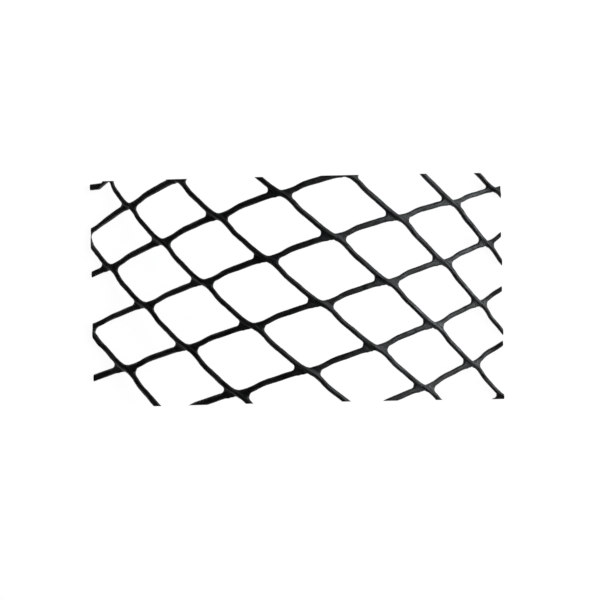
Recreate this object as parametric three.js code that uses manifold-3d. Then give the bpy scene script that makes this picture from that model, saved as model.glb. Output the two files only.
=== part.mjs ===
// Plastic mesh netting: a cut length of black diamond net that has kept the curl of its roll.
// Two layers of extruded strands lie across each other and are fused where they cross,
// so the net is one piece. It is drawn flat first, then bent over a low arch that stands
// on two level feet, and trimmed on four sides.
// Millimetres, +Z up. X runs from foot to foot, Y from front to back, and the origin
// is on the floor under the middle of the piece.

import * as THREE from "three";
import { mergeVertices } from "three/addons/utils/BufferGeometryUtils.js";
import Module from "manifold-3d";

const wasm = await Module();
wasm.setup();

// Trimmed piece, at the floor
const LENGTH = 125;
const DEPTH = 69.4;
const CUT_LEAN = 8.5; // degrees that the front and back cuts lean inwards
const CUT_TURN = 0.25; // degrees that they run out of square, their right ends further back

// Mesh of the flat net: the way each layer runs, the distance between crossings along it, its strands'
// section and how far they bow back between two crossings
const UPPER = { angle: -40.1, pitch: 20, width: 1.3, height: 1.3, bow: 0.72, side: 1 };
const LOWER = { angle: 17.1, pitch: 20.35, width: 1.5, height: 1.2, bow: 0.88, side: -1 };
const LAYER = 0.35; // from the middle of the net to the middle of each layer
const CENTRE_CROSSING = new THREE.Vector2(6.81, -4.03); // the crossing nearest the middle of the piece

// Strands at the crossings: they bend towards the direction the net was drawn in, and webs fill the corners
const DRAWN_ANGLE = (UPPER.angle + LOWER.angle) / 2;
const SWING = 0.54; // sideways reach of the bend on each side of a crossing
const WEB_AHEAD = 0.3; // share of the pitch that the web reaches along each strand past the crossing
const WEB_BEHIND = 0.265; // and before it
const WEB_HOLLOW = 0.5; // share of the way to the crossing that its two ends are hollowed by
const WEB_WAIST = 1.5; // across the crossing
const WEB_THICKNESS = 1;

// Unevenness of the mesh, at the corners and ends of the piece
const FAN = 3.15; // the back corners are drawn in, and the front corners let out, by this much
const LEAN = 3.5; // the back corners lie this much to the right, and the front corners to the left
const SAG = 0.75; // the ends lie this much nearer the front than the middle does
const TAPER = 1.25; // and the front and back edges are drawn in by this much there
const BACK_SAG = 1.1; // the back edge lies this much further to the front than the rest of the mesh
const BACK_TURN = 0.55; // by this much more at its right end, and less at its left one
const BACK_CORNERS = 0.5; // and by this much more at both ends
const FRONT_TURN = 2.3; // the front edge's right end lies this much further back, its left end further out
const FRONT_CORNERS = 1.35; // and both ends this much further out
const EDGE_POWER = 4; // the higher, the nearer to those edges this sets in
// The last cells at each end, on top of that: how far they close up, fan out and sag
const LEFT_END = { closing: 0.9, fan: 1.05, sag: 0.6 };
const RIGHT_END = { closing: 3.05, fan: 0.55, sag: -0.65 };
const END_POWER = 5; // the higher, the nearer to the end this sets in
const DRIFT_END = 1.3; // share of the half length and depth beyond which this grows no more

// Arch
const CREST_HEIGHT = 18; // of the middle of the net over its level feet
const CREST_X = 2;
const CREST_RADIUS = 85;
const FOOT_RADIUS = 6;
const FOOT_LENGTH = 2.5; // of the level stretch at each end

// Fineness
const SECTION_SIDES = 8;
const STEPS_PER_CELL = 8;
const WEB_STEPS = 5;
const REACH = 5; // crossings that are drawn on each side of the middle one, before trimming
const WEB_FIELD = 0.65; // share of the length and depth, out from the middle, that is given webs

const radians = THREE.MathUtils.degToRad;
const heading = (angle) => new THREE.Vector2(Math.cos(radians(angle)), Math.sin(radians(angle)));
const upperStep = heading(UPPER.angle).multiplyScalar(UPPER.pitch);
const lowerStep = heading(LOWER.angle).multiplyScalar(LOWER.pitch);
const drawn = heading(DRAWN_ANGLE);
const acrossDrawn = heading(DRAWN_ANGLE + 90);
const footHeight = LAYER + LOWER.height / 2; // of the middle of the net where it lies level

// A solid for joining and cutting, from a closed geometry, and back again.
function solidOf(geometry) {
  const bare = geometry.clone();
  bare.deleteAttribute("normal");
  bare.deleteAttribute("uv");
  const merged = mergeVertices(bare, 1e-4);
  return new wasm.Manifold(
    new wasm.Mesh({
      numProp: 3,
      vertProperties: merged.attributes.position.array,
      triVerts: new Uint32Array(merged.index.array),
    }),
  );
}

function geometryOf(solid) {
  const mesh = solid.getMesh();
  const geometry = new THREE.BufferGeometry();
  geometry.setAttribute("position", new THREE.BufferAttribute(mesh.vertProperties, 3));
  geometry.setIndex(new THREE.BufferAttribute(mesh.triVerts, 1));
  return geometry;
}

// Place on the flat net, counted in crossings from the middle one along the lower and the upper strands.
function onLattice(alongLower, alongUpper) {
  return CENTRE_CROSSING.clone()
    .addScaledVector(lowerStep, alongLower)
    .addScaledVector(upperStep, alongUpper);
}

// Shift along the drawing direction at a place on a strand, where whole numbers are crossings.
function swingAt(place, bow) {
  const turn = 2 * Math.PI * place;
  const bend = SWING * (Math.sin(turn) + Math.sin(2 * turn) / 2);
  return bend - (bow * (1 - Math.cos(turn))) / 2;
}

const upperPoint = (strand, place) =>
  onLattice(strand, place).addScaledVector(drawn, swingAt(place, UPPER.bow));
const lowerPoint = (strand, place) =>
  onLattice(place, strand).addScaledVector(drawn, swingAt(place, LOWER.bow));

// The path of one strand on the flat net, from its first crossing to its last.
class StrandPath extends THREE.Curve {
  constructor(pointAt, strand, height) {
    super();
    this.pointAt = pointAt;
    this.strand = strand;
    this.height = height;
  }

  getPoint(share) {
    const flat = this.pointAt(this.strand, THREE.MathUtils.lerp(-REACH, REACH, share));
    return new THREE.Vector3(flat.x, flat.y, this.height);
  }

  getSpacedPoints(divisions) {
    return this.getPoints(divisions);
  }

  getTangentAt(share) {
    return this.getTangent(share);
  }
}

// Section of a strand, flat above and below. Its x lies across the net's thickness.
function strandSection({ width, height }) {
  const halfSide = Math.PI / SECTION_SIDES;
  const toCorner = 1 / (2 * Math.cos(halfSide));
  const corners = [];
  for (let side = 0; side < SECTION_SIDES; side++) {
    const turn = (2 * side + 1) * halfSide;
    corners.push(new THREE.Vector2(Math.cos(turn) * height * toCorner, Math.sin(turn) * width * toCorner));
  }
  return new THREE.Shape(corners);
}

function strand(layer, pointAt, index) {
  return new THREE.ExtrudeGeometry(strandSection(layer), {
    steps: 2 * REACH * STEPS_PER_CELL,
    extrudePath: new StrandPath(pointAt, index, layer.side * LAYER),
  });
}

// Web of one crossing: a bow tie with hollow ends, its corners on the middles of the strands.
function web(lower, upper) {
  const centre = onLattice(lower, upper);
  const onLower = (share) => lowerPoint(upper, lower + share);
  const onUpper = (share) => upperPoint(lower, upper + share);
  const hollow = (point) => point.clone().lerp(centre, WEB_HOLLOW);
  const shape = new THREE.Shape();
  const end = (from, to) => {
    const [fromPull, toPull] = [hollow(from), hollow(to)];
    shape.bezierCurveTo(fromPull.x, fromPull.y, toPull.x, toPull.y, to.x, to.y);
  };
  // The curve's middle lies on the waist's edge.
  const waist = (from, to) => {
    const side = acrossDrawn.clone().multiplyScalar(Math.sign(acrossDrawn.dot(to.clone().sub(centre))));
    const edge = centre.clone().addScaledVector(side, WEB_WAIST / 2);
    const pull = edge.multiplyScalar(2).sub(from.clone().add(to).multiplyScalar(0.5));
    shape.quadraticCurveTo(pull.x, pull.y, to.x, to.y);
  };
  const corners = [onUpper(WEB_AHEAD), onLower(WEB_AHEAD), onUpper(-WEB_BEHIND), onLower(-WEB_BEHIND)];
  shape.moveTo(corners[0].x, corners[0].y);
  end(corners[0], corners[1]);
  waist(corners[1], corners[2]);
  end(corners[2], corners[3]);
  waist(corners[3], corners[0]);
  const plate = new THREE.ExtrudeGeometry(shape, {
    depth: WEB_THICKNESS,
    bevelEnabled: false,
    curveSegments: WEB_STEPS,
  });
  return plate.translate(0, 0, -WEB_THICKNESS / 2);
}

// One side of the arch, from the crest down to its foot: the flank's angle and where each stretch ends.
function archSide(footX) {
  const radii = CREST_RADIUS + FOOT_RADIUS;
  const drop = CREST_HEIGHT - radii;
  const angle = Math.atan2(drop, footX) + Math.asin(radii / Math.hypot(footX, drop));
  const flank = (footX - radii * Math.sin(angle)) / Math.cos(angle);
  return { angle, flank, crestEnd: CREST_RADIUS * angle, flankEnd: CREST_RADIUS * angle + flank };
}

const levelX = LENGTH / 2 - FOOT_LENGTH;
const sides = { left: archSide(levelX + CREST_X), right: archSide(levelX - CREST_X) };

// Distance out from the crest, height over the level foot and slope, at a distance along the net.
function archAt(side, distance) {
  const { angle, flank, crestEnd, flankEnd } = side;
  const onCrest = Math.min(distance / CREST_RADIUS, angle);
  const onFlank = THREE.MathUtils.clamp(distance - crestEnd, 0, flank);
  const onFoot = THREE.MathUtils.clamp((distance - flankEnd) / FOOT_RADIUS, 0, angle);
  const onLevel = Math.max(distance - flankEnd - FOOT_RADIUS * angle, 0);
  const slope = onCrest - onFoot;
  const out =
    CREST_RADIUS * Math.sin(onCrest) +
    onFlank * Math.cos(angle) +
    FOOT_RADIUS * (Math.sin(angle) - Math.sin(angle - onFoot)) +
    onLevel;
  const fall =
    CREST_RADIUS * (1 - Math.cos(onCrest)) +
    onFlank * Math.sin(angle) +
    FOOT_RADIUS * (Math.cos(angle - onFoot) - Math.cos(angle));
  return { out, height: CREST_HEIGHT - fall, slope };
}

// A point of the flat net, with its height over the net's middle, laid on the arch.
function layOnArch(point) {
  const endShare = THREE.MathUtils.clamp(point.x / (LENGTH / 2), -DRIFT_END, DRIFT_END);
  const edgeShare = THREE.MathUtils.clamp(point.y / (DEPTH / 2), -DRIFT_END, DRIFT_END);
  const nearBack = Math.max(edgeShare, 0) ** EDGE_POWER;
  const nearFront = Math.max(-edgeShare, 0) ** EDGE_POWER;
  const backShift = BACK_SAG + BACK_TURN * endShare + BACK_CORNERS * endShare ** 2;
  const frontShift = FRONT_TURN * endShare - FRONT_CORNERS * endShare ** 2;
  const y = point.y - backShift * nearBack + frontShift * nearFront;
  const depthShare = y / (DEPTH / 2);
  const end = endShare < 0 ? LEFT_END : RIGHT_END;
  const nearness = Math.abs(endShare) ** END_POWER;
  const along =
    point.x -
    FAN * endShare * depthShare +
    LEAN * endShare ** 2 * depthShare -
    Math.sign(endShare) * (end.closing + end.fan * depthShare) * nearness;
  const across = y - (SAG + TAPER * depthShare) * endShare ** 2 - end.sag * nearness;
  const way = along < CREST_X ? -1 : 1;
  const { out, height, slope } = archAt(way < 0 ? sides.left : sides.right, Math.abs(along - CREST_X));
  return new THREE.Vector3(
    CREST_X + way * (out + point.z * Math.sin(slope)),
    across,
    footHeight + height + point.z * Math.cos(slope),
  );
}

function bend(geometry) {
  const places = geometry.attributes.position;
  for (let i = 0; i < places.count; i++) {
    const laid = layOnArch(new THREE.Vector3().fromBufferAttribute(places, i));
    places.setXYZ(i, laid.x, laid.y, laid.z);
  }
  return geometry;
}

// The four cuts: each takes away all that lies outside one edge of the piece.
function cuts() {
  const size = 4 * LENGTH;
  const block = () => new THREE.BoxGeometry(size, size, size);
  const ends = [-1, 1].map((way) => block().translate(way * (LENGTH / 2 + size / 2), 0, 0));
  const edges = [-1, 1].map((way) =>
    block()
      .translate(0, (way * size) / 2, 0)
      .rotateX(way * radians(CUT_LEAN))
      .translate(0, (way * DEPTH) / 2, 0)
      .rotateZ(radians(CUT_TURN)),
  );
  return [...ends, ...edges];
}

// Net drawn flat: the strands of both layers and the web of each crossing.
const flatPieces = [];
for (let index = -REACH; index <= REACH; index++) {
  flatPieces.push(strand(UPPER, upperPoint, index));
  flatPieces.push(strand(LOWER, lowerPoint, index));
}
for (let lower = -REACH; lower <= REACH; lower++) {
  for (let upper = -REACH; upper <= REACH; upper++) {
    const place = onLattice(lower, upper);
    const inField = Math.abs(place.x) < WEB_FIELD * LENGTH && Math.abs(place.y) < WEB_FIELD * DEPTH;
    if (inField) flatPieces.push(web(lower, upper));
  }
}
const flatNet = flatPieces.map(solidOf).reduce((whole, piece) => whole.add(piece));

// Net bent and trimmed. Bits that the cuts leave loose are not part of the piece.
const trimmed = cuts()
  .map(solidOf)
  .reduce((whole, cut) => whole.subtract(cut), solidOf(bend(geometryOf(flatNet))));
const [netSolid] = trimmed.decompose().sort((a, b) => b.volume() - a.volume());
const { min, max } = netSolid.boundingBox();
const centred = netSolid.translate(-(min[0] + max[0]) / 2, -(min[1] + max[1]) / 2, -min[2]);

const blackPolyethylene = new THREE.MeshStandardMaterial({
  color: 0x1b1d1e,
  roughness: 0.42,
  metalness: 0,
});
const net = new THREE.Mesh(geometryOf(centred), blackPolyethylene);
net.name = "net";

const netting = new THREE.Group();
netting.add(net);

export default netting;
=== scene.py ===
# Plastic mesh netting: the finished look of a cut length of black diamond net.
# The net is swept strand by strand on the flat, its crossings fused and rounded as molten plastic sets,
# then bent over the same arch as the solid and trimmed on the same four sides.
# The net's sizes are in millimetres until the last step, which brings it to metres.

import math

import bmesh
import bpy
from mathutils import Matrix, Vector, noise


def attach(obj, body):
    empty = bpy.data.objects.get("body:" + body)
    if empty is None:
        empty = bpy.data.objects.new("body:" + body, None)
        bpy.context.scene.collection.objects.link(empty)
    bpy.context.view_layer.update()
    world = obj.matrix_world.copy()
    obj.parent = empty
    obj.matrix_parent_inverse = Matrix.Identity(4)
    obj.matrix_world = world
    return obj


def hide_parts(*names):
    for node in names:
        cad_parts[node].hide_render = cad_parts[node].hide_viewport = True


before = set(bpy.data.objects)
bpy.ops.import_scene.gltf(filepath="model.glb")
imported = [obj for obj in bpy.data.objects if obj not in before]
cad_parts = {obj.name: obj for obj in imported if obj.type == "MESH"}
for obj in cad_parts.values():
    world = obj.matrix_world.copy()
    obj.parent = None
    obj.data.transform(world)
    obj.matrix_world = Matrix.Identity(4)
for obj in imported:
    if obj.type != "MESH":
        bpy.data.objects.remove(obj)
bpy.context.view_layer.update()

MM = 0.001

# Trimmed piece, at the floor
LENGTH = 125.0
DEPTH = 69.4
CUT_LEAN = 8.5  # degrees that the front and back cuts lean inwards
CUT_TURN = 0.25  # degrees that they run out of square, their right ends further back
CUT_TOLERANCE = 1e-5
FLAT_LENGTH = 131.5  # of the net before it was curled

# Layers of the flat net
UPPER = dict(
    side=1,  # 1 above the net's middle, -1 below it
    angle=-40.1,  # degrees from +X that the strands run at
    pitch=20.0,  # between crossings along a strand
    width=1.3,
    height=1.3,
    squareness=0.54,  # of the section, from about 0.55 for an ellipse to 1 for a box
    bow=0.72,  # of a strand, back between two crossings
    slim=0.0,  # share of its thickness that a strand loses past each crossing
    to_right=0.09,  # share that the strands are thicker by at the right end, and thinner at the left
    to_back=0.05,  # the same at the back edge, and at the front one
    to_ends=0.03,  # share that they are thicker by at both ends
    to_edges=0.06,  # the same at the front and back edges
    to_corners=-0.05,  # the same at the back-left and front-right corners, and thinner at the others
)
LOWER = dict(
    side=-1,
    angle=17.1,
    pitch=20.35,
    width=1.5,
    height=1.25,
    squareness=0.66,
    bow=0.88,
    slim=0.07,
    to_right=-0.1,
    to_back=0.055,
    to_ends=0.07,
    to_edges=0.13,
    to_corners=0.06,
)
LAYER = 0.35  # from the middle of the net to the middle of each layer
CENTRE_CROSSING = Vector((6.81, -4.03, 0.0))  # the crossing nearest the middle of the piece

# Strands at the crossings
DRAWN_ANGLE = (UPPER["angle"] + LOWER["angle"]) / 2  # the way the net was drawn
SWING = 0.54  # reach of the bend that way, on past a crossing and back before it
PINCH = 0.16  # share of its thickness that a strand loses where it is pressed onto the other
PINCH_POWER = 16  # the higher, the shorter the pressed stretch
SLIM_PLACE = 0.22  # share of the pitch past a crossing where a strand is slimmest

# Webs in the sharp corners of the crossings
WEB_AHEAD = 0.335  # share of the pitch that a web reaches along each strand past the crossing
WEB_BEHIND = 0.36  # and before it
HOLLOW_AHEAD = 0.5  # share of the way to the crossing that its end past the crossing is hollowed by
HOLLOW_BEHIND = 0.64  # and its end before it
WEB_WAIST = 1.6  # across the crossing
WEB_THICKNESS = 0.9
WEB_ROUNDING = 0.3  # of its edges
HANDLE_SHARE = 2 / 3  # of the way from a corner to the pull of its side, where the handle lies

# Unevenness of the mesh
FAN = 3.15  # the back corners are drawn in, and the front corners let out, by this much
LEAN = 3.5  # the back corners lie this much to the right, and the front corners to the left
SAG = 0.75  # the ends lie this much nearer the front than the middle does
TAPER = 1.25  # and the front and back edges are drawn in by this much there
BACK_SAG = 1.1  # the back edge lies this much further to the front than the rest of the mesh
BACK_TURN = 0.55  # by this much more at its right end, and less at its left one
BACK_CORNERS = 0.5  # and by this much more at both ends
FRONT_TURN = 2.3  # the front edge's right end lies this much further back, its left end further out
FRONT_CORNERS = 1.35  # and both ends this much further out
EDGE_POWER = 4  # the higher, the nearer to those edges this sets in
# How far the mesh closes up at each end, how much more so at its back corner and less at its front one,
# and how far the end sags towards the front
LEFT_END = dict(closing=0.9, fan=1.05, sag=0.6)
RIGHT_END = dict(closing=3.05, fan=0.55, sag=-0.65)
END_POWER = 5  # the higher, the nearer to the end this sets in
DRIFT_END = 1.3  # share of the half length and depth beyond which this grows no more
TAIL_START = 73.0  # left of the middle of the flat net, where the tail at the back-left corner begins
TAIL_RISE = 0.13  # of the tail towards the back, for its length on the flat

# Unevenness of the strands
WAVER = 0.05  # how far a strand's thickness wanders, as a share of it
WAVER_LENGTH = 7.0
LUMP = 0.04  # how far the set surface swells and sinks
LUMP_LENGTH = 1.8

# Arch
CREST_HEIGHT = 18.0  # of the net's middle over its level ends
CREST_X = 2.0
CREST_RADIUS = 85.0
FOOT_RADIUS = 6.0  # of the bend from each flank into its level end
FOOT_LENGTH = 2.5  # of each level end

# Fineness
REACH = 5  # crossings on each side of the middle one
STEPS_PER_CELL = 20
MARGIN = 22.0  # that is drawn past the trimmed piece on the flat
FUSE_VOXEL = 0.3
SMOOTHING_ROUNDS = 4
SMOOTHING_FACTOR = 0.5
SMOOTHING_LOSS = 0.06  # that smoothing takes off a strand, given to its section beforehand
EDGE_LOSS = 0.32  # given to its width: its round edges mirror the pale table and are lost against it

# Look of the plastic
SHADES = ((0.35, "#060707"), (0.75, "#101213"))  # values of the scuffs' noise, and the colours there
DIE_LINE = (0.5, 5.0)  # spacing across a strand and along it
SCUFF = (0.7, 2.2)  # the same
GRAIN = {"Scale": 1.0, "Detail": 1.0, "Roughness": 0.5}  # of the noise that both are made with
UPPER_FROM = 0.32  # height over the net's middle from which the upper strands' lines begin to show
UPPER_FULL = 0.6  # and from which only theirs do
LINES_IN_WEAR = 0.5  # share of the die lines in the wear that dulls the plastic, scuffs being the rest
WEAR_RANGE = {"From Min": 0.36, "From Max": 0.64}
ROUGHNESS_RANGE = {"To Min": 0.22, "To Max": 0.62}
LINE_RELIEF = {"Strength": 1.0, "Distance": 0.0002}
SCUFF_RELIEF = {"Strength": 0.5, "Distance": 0.0001}
SHEEN = {"IOR": 1.52, "Specular IOR Level": 0.38}

# Table, studio and lights, in metres and watts
WHITE = "#ffffff"
TABLE_SIDE = 6.0
TABLE_COLOUR = "#7f7f7f"
TABLE_FINISH = {"Roughness": 0.9, "Specular IOR Level": 0.1}
TABLE_GLOW = 0.925
WALL_GLOW = 0.8  # of the studio's walls, near the floor
CEILING_GLOW = 0.04
WALL_TOP = 0.02  # sine of the height angle up to which the walls are fully pale
CEILING_EDGE = 0.22  # and of that from which only the ceiling shows
LIGHT_COLOUR = "#f0f8fa"
SOFTBOXES = dict(
    key=dict(place=(0.58, 0.27, 0.45), size=(0.8, 0.6), power=4.1),
    strip=dict(place=(0.8, 0.1, 0.15), size=(0.4, 0.22), power=2.0),
    overhead=dict(place=(0.15, 0.0, 0.8), size=(0.75, 0.6), power=0.32),
    fill=dict(place=(0.51, -0.43, 0.44), size=(0.35, 0.3), power=0.6),
)

# Camera, straight above the piece
EYE = (0.00085, -0.0031, 0.232)
EYE_TURN = -1.0  # degrees about the line of sight
SENSOR_WIDTH = 36.0
FRAME_SIDE = 600  # pixels of the photograph's square frame
FOCAL = 756.8  # in those pixels
NEAREST = 0.01  # that the camera shows


def clamp(value, low, high):
    return max(low, min(high, value))


# Way that an angle in degrees points, on the flat.
def heading(angle):
    return Vector((math.cos(math.radians(angle)), math.sin(math.radians(angle)), 0.0))


upper_step = heading(UPPER["angle"]) * UPPER["pitch"]
lower_step = heading(LOWER["angle"]) * LOWER["pitch"]
drawn = heading(DRAWN_ANGLE)
across_drawn = heading(DRAWN_ANGLE + 90)
foot_height = LAYER + LOWER["height"] / 2


# New object in the scene, with its curve, mesh, light or lens.
def placed(name, data):
    holder = bpy.data.objects.new(name, data)
    bpy.context.collection.objects.link(holder)
    return holder


# New object in the scene from an edited mesh, which is freed.
def placed_mesh(name, bm):
    mesh = bpy.data.meshes.new(name)
    bm.to_mesh(mesh)
    bm.free()
    return placed(name, mesh)


# Mesh that an object comes to, with its bevels or modifiers. The object is taken away.
def mesh_of(holder):
    depsgraph = bpy.context.evaluated_depsgraph_get()
    mesh = bpy.data.meshes.new_from_object(holder.evaluated_get(depsgraph))
    bpy.data.objects.remove(holder)
    return mesh


# Place on the flat net, counted in crossings from the middle one along the lower and the upper strands.
def on_lattice(along_lower, along_upper):
    return CENTRE_CROSSING + lower_step * along_lower + upper_step * along_upper


# Shift along the drawing direction at a place on a strand, where whole numbers are crossings.
def swing_at(place, bow):
    turn = 2 * math.pi * place
    return SWING * (math.sin(turn) + math.sin(2 * turn) / 2) - bow * (1 - math.cos(turn)) / 2


def strand_point(layer, strand, place):
    lattice = on_lattice(strand, place) if layer is UPPER else on_lattice(place, strand)
    return lattice + drawn * swing_at(place, layer["bow"])


# Thickness of a layer's strands at a place on the flat net, as a share of that in the middle.
def growth_at(layer, point):
    end_share = clamp(point.x / (LENGTH / 2), -1.0, 1.0)
    edge_share = clamp(point.y / (DEPTH / 2), -1.0, 1.0)
    towards = layer["to_right"] * end_share + layer["to_back"] * edge_share
    towards -= layer["to_corners"] * end_share * edge_share
    return 1 + towards + layer["to_ends"] * end_share**2 + layer["to_edges"] * edge_share**2


def in_field(point):
    return abs(point.x) < FLAT_LENGTH / 2 + MARGIN and abs(point.y) < DEPTH / 2 + MARGIN


# A closed outline of four corners, each with its two handles.
def outline(curve, corners):
    spline = curve.splines.new("BEZIER")
    spline.bezier_points.add(len(corners) - 1)
    spline.use_cyclic_u = True
    for point, (corner, before, after) in zip(spline.bezier_points, corners):
        point.handle_left_type = "FREE"
        point.handle_right_type = "FREE"
        point.co = corner
        point.handle_left = before
        point.handle_right = after


# Section of a strand, as a curve that the strands of its layer are swept with.
def section(layer):
    curve = bpy.data.curves.new("section", "CURVE")
    curve.dimensions = "2D"
    wide = Vector(((layer["width"] + SMOOTHING_LOSS + EDGE_LOSS) / 2, 0.0, 0.0))
    high = Vector((0.0, (layer["height"] + SMOOTHING_LOSS) / 2, 0.0))
    corners = []
    for point, along in ((wide, high), (high, -wide), (-wide, -high), (-high, wide)):
        handle = along * layer["squareness"]
        corners.append((point, point - handle, point + handle))
    outline(curve, corners)
    return placed("section", curve)


# All the strands of one layer, swept along their paths on the flat net.
def strands(layer):
    curve = bpy.data.curves.new("strands", "CURVE")
    curve.dimensions = "3D"
    curve.twist_mode = "Z_UP"
    curve.use_fill_caps = True
    curve.bevel_mode = "OBJECT"
    curve.bevel_object = section(layer)
    last_step = REACH * STEPS_PER_CELL
    places = [step / STEPS_PER_CELL for step in range(-last_step, last_step + 1)]
    for strand in range(-REACH, REACH + 1):
        path = [(place, strand_point(layer, strand, place)) for place in places]
        path = [(place, point) for place, point in path if in_field(point)]
        if len(path) < 2:
            continue
        spline = curve.splines.new("POLY")
        spline.points.add(len(path) - 1)
        for knot, (place, point) in zip(spline.points, path):
            slim = layer["slim"] * (1 + math.cos(2 * math.pi * (place - SLIM_PLACE))) / 2
            waver = WAVER * noise.noise(Vector((point.x, point.y, strand)) / WAVER_LENGTH)
            pinch = PINCH * math.cos(math.pi * place) ** PINCH_POWER
            growth = growth_at(layer, point)
            inwards = (growth - 1) * layer["height"] / 2
            knot.co = (point.x, point.y, layer["side"] * (LAYER - inwards), 1.0)
            knot.radius = growth * (1 + waver - slim - pinch)
    mesh = mesh_of(placed("strands", curve))
    bpy.data.objects.remove(curve.bevel_object)
    return mesh


# Web of one crossing: a bow tie with hollow ends, its corners on the middles of the strands.
def web(curve, lower, upper):
    centre = on_lattice(lower, upper)
    ahead_upper = strand_point(UPPER, lower, upper + WEB_AHEAD)
    ahead_lower = strand_point(LOWER, upper, lower + WEB_AHEAD)
    behind_upper = strand_point(UPPER, lower, upper - WEB_BEHIND)
    behind_lower = strand_point(LOWER, upper, lower - WEB_BEHIND)

    # Handle of a corner on its hollow end.
    def end_pull(corner):
        hollow = HOLLOW_AHEAD if drawn.dot(corner - centre) > 0 else HOLLOW_BEHIND
        return corner.lerp(centre, hollow)

    # Handle of a corner on its side, which runs to the other corner past the waist.
    def waist_pull(corner, other):
        side = 1 if across_drawn.dot(corner - centre) > 0 else -1
        middle = centre + across_drawn * side * WEB_WAIST / 2
        pull = middle * 2 - (corner + other) / 2
        return corner.lerp(pull, HANDLE_SHARE)

    corners = [
        (ahead_upper, waist_pull(ahead_upper, behind_lower), end_pull(ahead_upper)),
        (ahead_lower, end_pull(ahead_lower), waist_pull(ahead_lower, behind_upper)),
        (behind_upper, waist_pull(behind_upper, ahead_lower), end_pull(behind_upper)),
        (behind_lower, end_pull(behind_lower), waist_pull(behind_lower, ahead_upper)),
    ]
    outline(curve, corners)


def webs():
    curve = bpy.data.curves.new("webs", "CURVE")
    curve.dimensions = "2D"
    curve.fill_mode = "BOTH"
    curve.extrude = WEB_THICKNESS / 2 - WEB_ROUNDING
    curve.bevel_depth = WEB_ROUNDING
    curve.offset = -WEB_ROUNDING
    for lower in range(-REACH, REACH + 1):
        for upper in range(-REACH, REACH + 1):
            if in_field(on_lattice(lower, upper)):
                web(curve, lower, upper)
    return mesh_of(placed("webs", curve))


# Strands and webs fused into one skin on the flat.
def fused_net():
    bm = bmesh.new()
    for mesh in (strands(UPPER), strands(LOWER), webs()):
        bm.from_mesh(mesh)
    holder = placed_mesh("drawn_net", bm)
    fuse = holder.modifiers.new("fuse", "REMESH")
    fuse.mode = "VOXEL"
    fuse.voxel_size = FUSE_VOXEL
    return mesh_of(holder)


# One side of the arch, from the crest down to its foot: the flank's angle and its length.
def arch_side(foot_x):
    radii = CREST_RADIUS + FOOT_RADIUS
    drop = CREST_HEIGHT - radii
    angle = math.atan2(drop, foot_x) + math.asin(radii / math.hypot(foot_x, drop))
    flank = (foot_x - radii * math.sin(angle)) / math.cos(angle)
    return angle, flank


level_x = LENGTH / 2 - FOOT_LENGTH
left_side = arch_side(level_x + CREST_X)
right_side = arch_side(level_x - CREST_X)


# Distance out from the crest, height over the level foot and slope, at a distance along the net.
def arch_at(side, distance):
    angle, flank = side
    crest_end = CREST_RADIUS * angle
    on_crest = min(distance / CREST_RADIUS, angle)
    on_flank = clamp(distance - crest_end, 0.0, flank)
    on_foot = clamp((distance - crest_end - flank) / FOOT_RADIUS, 0.0, angle)
    on_level = max(distance - crest_end - flank - FOOT_RADIUS * angle, 0.0)
    out = CREST_RADIUS * math.sin(on_crest) + on_flank * math.cos(angle)
    out += FOOT_RADIUS * (math.sin(angle) - math.sin(angle - on_foot)) + on_level
    fall = CREST_RADIUS * (1 - math.cos(on_crest)) + on_flank * math.sin(angle)
    fall += FOOT_RADIUS * (math.cos(angle - on_foot) - math.cos(angle))
    return out, CREST_HEIGHT - fall, on_crest - on_foot


# Where a point of the flat net lies in the uneven mesh, along the arch and across it.
def drifted(point):
    end_share = clamp(point.x / (LENGTH / 2), -DRIFT_END, DRIFT_END)
    edge_share = clamp(point.y / (DEPTH / 2), -DRIFT_END, DRIFT_END)
    near_back = max(edge_share, 0.0) ** EDGE_POWER
    near_front = max(-edge_share, 0.0) ** EDGE_POWER
    back_shift = BACK_SAG + BACK_TURN * end_share + BACK_CORNERS * end_share**2
    front_shift = FRONT_TURN * end_share - FRONT_CORNERS * end_share**2
    y = point.y - back_shift * near_back + front_shift * near_front
    y += TAIL_RISE * max(-point.x - TAIL_START, 0.0)
    depth_share = y / (DEPTH / 2)
    end = LEFT_END if end_share < 0 else RIGHT_END
    nearness = abs(end_share) ** END_POWER
    along = point.x - FAN * end_share * depth_share + LEAN * end_share**2 * depth_share
    along -= (end["closing"] + end["fan"] * depth_share) * math.copysign(nearness, end_share)
    across = y - (SAG + TAPER * depth_share) * end_share**2 - end["sag"] * nearness
    return along, across


# A point of the flat net, with its height over the net's middle, laid on the arch.
def lay_on_arch(point):
    along, across = drifted(point)
    way = -1 if along < CREST_X else 1
    out, height, slope = arch_at(left_side if way < 0 else right_side, abs(along - CREST_X))
    x = CREST_X + way * (out + point.z * math.sin(slope))
    return Vector((x, across, foot_height + height + point.z * math.cos(slope)))


# Smooths the flat skin, notes each point's place on it as "flat", and lays it on the arch.
def curl(bm):
    for face in bm.faces:
        face.smooth = True
    every_way = dict(use_axis_x=True, use_axis_y=True, use_axis_z=True)
    for _ in range(SMOOTHING_ROUNDS):
        bmesh.ops.smooth_vert(bm, verts=bm.verts, factor=SMOOTHING_FACTOR, **every_way)
    bm.normal_update()
    flat = bm.verts.layers.float_vector.new("flat")
    for vert in bm.verts:
        vert[flat] = vert.co
        lump = LUMP * noise.noise(vert.co / LUMP_LENGTH)
        vert.co = lay_on_arch(vert.co + vert.normal * lump)


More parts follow.
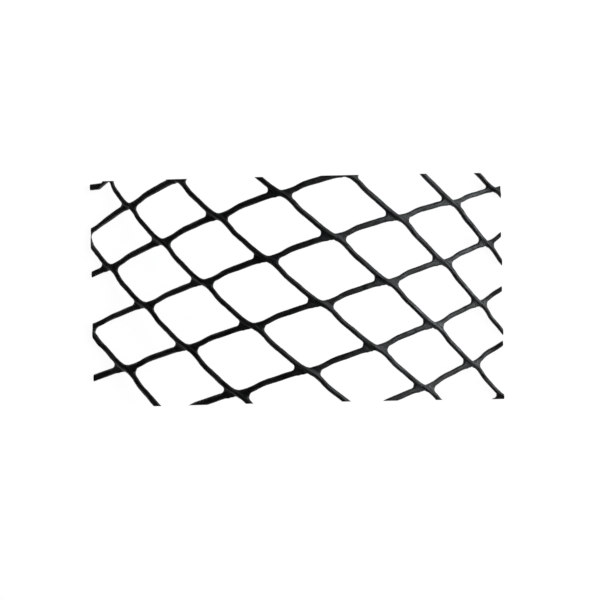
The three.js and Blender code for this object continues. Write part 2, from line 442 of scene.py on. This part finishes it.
# Cuts off all that lies beyond a plane, and closes the cut strands with flat faces.
def trim(bm, place, outward):
    bmesh.ops.bisect_plane(
        bm,
        geom=bm.verts[:] + bm.edges[:] + bm.faces[:],
        dist=CUT_TOLERANCE,
        plane_co=place,
        plane_no=outward,
        clear_outer=True,
    )
    open_edges = [edge for edge in bm.edges if edge.is_boundary]
    caps = bmesh.ops.holes_fill(bm, edges=open_edges, sides=0)["faces"]
    for cap in caps:
        cap.smooth = False
        for edge in cap.edges:
            edge.smooth = False


def trim_four_sides(bm):
    lean = math.radians(CUT_LEAN)
    turn = Matrix.Rotation(math.radians(CUT_TURN), 3, "Z")
    for way in (-1, 1):
        trim(bm, (way * LENGTH / 2, 0.0, 0.0), (way, 0.0, 0.0))
        edge = turn @ Vector((0.0, way * DEPTH / 2, 0.0))
        trim(bm, edge, turn @ Vector((0.0, way * math.cos(lean), math.sin(lean))))


# Takes away every bit that the cuts have left loose.
def keep_largest(bm):
    left = set(bm.verts)
    islands = []
    while left:
        island = set()
        to_visit = [left.pop()]
        while to_visit:
            vert = to_visit.pop()
            island.add(vert)
            for edge in vert.link_edges:
                other = edge.other_vert(vert)
                if other in left:
                    left.remove(other)
                    to_visit.append(other)
        islands.append(island)
    islands.sort(key=len)
    loose = [vert for island in islands[:-1] for vert in island]
    bmesh.ops.delete(bm, geom=loose, context="VERTS")


# Brings the piece to metres, on the floor with the middle of its box over the origin.
def stand_at_origin(bm):
    low = Vector([min(vert.co[axis] for vert in bm.verts) for axis in range(3)])
    high = Vector([max(vert.co[axis] for vert in bm.verts) for axis in range(3)])
    middle = (low + high) / 2
    bmesh.ops.translate(bm, verts=bm.verts, vec=(-middle.x, -middle.y, -low.z))
    bmesh.ops.scale(bm, verts=bm.verts, vec=(MM, MM, MM))


def finished_net():
    bm = bmesh.new()
    bm.from_mesh(fused_net())
    curl(bm)
    trim_four_sides(bm)
    keep_largest(bm)
    stand_at_origin(bm)
    return placed_mesh("fused_net", bm)


# Linear colour, with full alpha, of a hex one on the sRGB curve.
def linear(hex_colour):
    channels = [int(hex_colour[at : at + 2], 16) / 255 for at in (1, 3, 5)]
    return [c / 12.92 if c <= 0.04045 else ((c + 0.055) / 1.055) ** 2.4 for c in channels] + [1.0]


# Node tree of a material or a world, emptied.
def empty_tree(owner):
    owner.use_nodes = True
    owner.node_tree.nodes.clear()
    return owner.node_tree


# A node, the values and links of its inputs by their names, and its own settings.
def add_node(tree, kind, values=None, links=None, **settings):
    node = tree.nodes.new(kind)
    for name, value in settings.items():
        setattr(node, name, value)
    for name, value in (values or {}).items():
        node.inputs[name].default_value = value
    for name, source in (links or {}).items():
        tree.links.new(source, node.inputs[name])
    return node


# Black high-density polyethylene, extruded and drawn while hot: carbon black in a waxy resin,
# near black face on, with a broad soft sheen, die lines along the strands and scuffs from the roll.
def black_polyethylene():
    material = bpy.data.materials.new("extruded_black_polyethylene")
    tree = empty_tree(material)
    flat = add_node(tree, "ShaderNodeAttribute", attribute_name="flat").outputs["Vector"]

    # Noise drawn out along the strands of a layer.
    def along(layer, spacing_across, spacing_along):
        turn = add_node(
            tree,
            "ShaderNodeVectorRotate",
            {"Angle": -math.radians(layer["angle"])},
            {"Vector": flat},
            rotation_type="Z_AXIS",
        )
        stretch = add_node(
            tree,
            "ShaderNodeMapping",
            {"Scale": (1 / spacing_along, 1 / spacing_across, 1 / spacing_across)},
            {"Vector": turn.outputs["Vector"]},
        )
        grain = add_node(tree, "ShaderNodeTexNoise", GRAIN, {"Vector": stretch.outputs["Vector"]})
        return grain.outputs["Fac"]

    height = add_node(tree, "ShaderNodeSeparateXYZ", links={"Vector": flat}).outputs["Z"]
    upper_share = add_node(
        tree,
        "ShaderNodeMapRange",
        {"From Min": UPPER_FROM, "From Max": UPPER_FULL},
        {"Value": height},
        interpolation_type="SMOOTHSTEP",
    ).outputs["Result"]

    # The same along both layers, each on its own strands.
    def by_layer(*spacings):
        noises = {"Factor": upper_share, "A": along(LOWER, *spacings), "B": along(UPPER, *spacings)}
        return add_node(tree, "ShaderNodeMix", links=noises, data_type="FLOAT").outputs["Result"]

    die_lines = by_layer(*DIE_LINE)
    scuffs = by_layer(*SCUFF)
    colour = add_node(tree, "ShaderNodeValToRGB", links={"Fac": scuffs})
    for stop, (position, shade) in zip(colour.color_ramp.elements, SHADES):
        stop.position = position
        stop.color = linear(shade)
    wear = add_node(
        tree,
        "ShaderNodeMix",
        {"Factor": LINES_IN_WEAR},
        {"A": scuffs, "B": die_lines},
        data_type="FLOAT",
    )
    roughness = add_node(
        tree,
        "ShaderNodeMapRange",
        WEAR_RANGE | ROUGHNESS_RANGE,
        {"Value": wear.outputs["Result"]},
    )
    line_bump = add_node(tree, "ShaderNodeBump", LINE_RELIEF, {"Height": die_lines})
    scuff_bump = add_node(
        tree,
        "ShaderNodeBump",
        SCUFF_RELIEF,
        {"Height": scuffs, "Normal": line_bump.outputs["Normal"]},
    )
    shader = add_node(
        tree,
        "ShaderNodeBsdfPrincipled",
        SHEEN,
        {
            "Base Color": colour.outputs["Color"],
            "Roughness": roughness.outputs["Result"],
            "Normal": scuff_bump.outputs["Normal"],
        },
    )
    add_node(tree, "ShaderNodeOutputMaterial", links={"Surface": shader.outputs["BSDF"]})
    return material


# Matt white table under soft light, lit from within so that it stays evenly pale.
def white_table():
    material = bpy.data.materials.new("matt_white_table")
    tree = empty_tree(material)
    light = {"Emission Color": linear(WHITE), "Emission Strength": TABLE_GLOW}
    paint = {"Base Color": linear(TABLE_COLOUR)}
    shader = add_node(tree, "ShaderNodeBsdfPrincipled", paint | TABLE_FINISH | light)
    add_node(tree, "ShaderNodeOutputMaterial", links={"Surface": shader.outputs["BSDF"]})
    return material


def table():
    bm = bmesh.new()
    bmesh.ops.create_grid(bm, x_segments=1, y_segments=1, size=TABLE_SIDE / 2)
    piece = placed_mesh("table", bm)
    piece.data.materials.append(white_table())


# A light that faces the piece.
def softbox(name, place, size, power):
    light = bpy.data.lights.new(name, "AREA")
    light.shape = "RECTANGLE"
    light.size, light.size_y = size
    light.energy = power
    light.color = linear(LIGHT_COLOUR)[:3]
    holder = placed(name, light)
    holder.location = place
    holder.rotation_euler = (-Vector(place)).to_track_quat("-Z", "Y").to_euler()


# Pale walls that fade into a dim ceiling, all round.
def studio():
    world = bpy.data.worlds.new("studio")
    tree = empty_tree(world)
    direction = add_node(tree, "ShaderNodeTexCoord").outputs["Generated"]
    height = add_node(tree, "ShaderNodeSeparateXYZ", links={"Vector": direction}).outputs["Z"]
    glow = add_node(
        tree,
        "ShaderNodeMapRange",
        {"From Min": WALL_TOP, "From Max": CEILING_EDGE, "To Min": WALL_GLOW, "To Max": CEILING_GLOW},
        {"Value": height},
        interpolation_type="SMOOTHSTEP",
    ).outputs["Result"]
    backdrop = add_node(tree, "ShaderNodeBackground", {"Color": linear(WHITE)}, {"Strength": glow})
    add_node(tree, "ShaderNodeOutputWorld", links={"Surface": backdrop.outputs["Background"]})
    bpy.context.scene.world = world


def camera():
    lens = bpy.data.cameras.new("camera")
    lens.sensor_width = SENSOR_WIDTH
    lens.lens = FOCAL / FRAME_SIDE * SENSOR_WIDTH
    lens.clip_start = NEAREST
    holder = placed("camera", lens)
    holder.location = EYE
    holder.rotation_euler = (0.0, 0.0, math.radians(EYE_TURN))
    bpy.context.scene.camera = holder


camera()
table()
for name, settings in SOFTBOXES.items():
    softbox(name, **settings)
studio()
bpy.context.scene.view_settings.view_transform = "Standard"

net = finished_net()
net.data.materials.append(black_polyethylene())
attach(net, "root")
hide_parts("net")
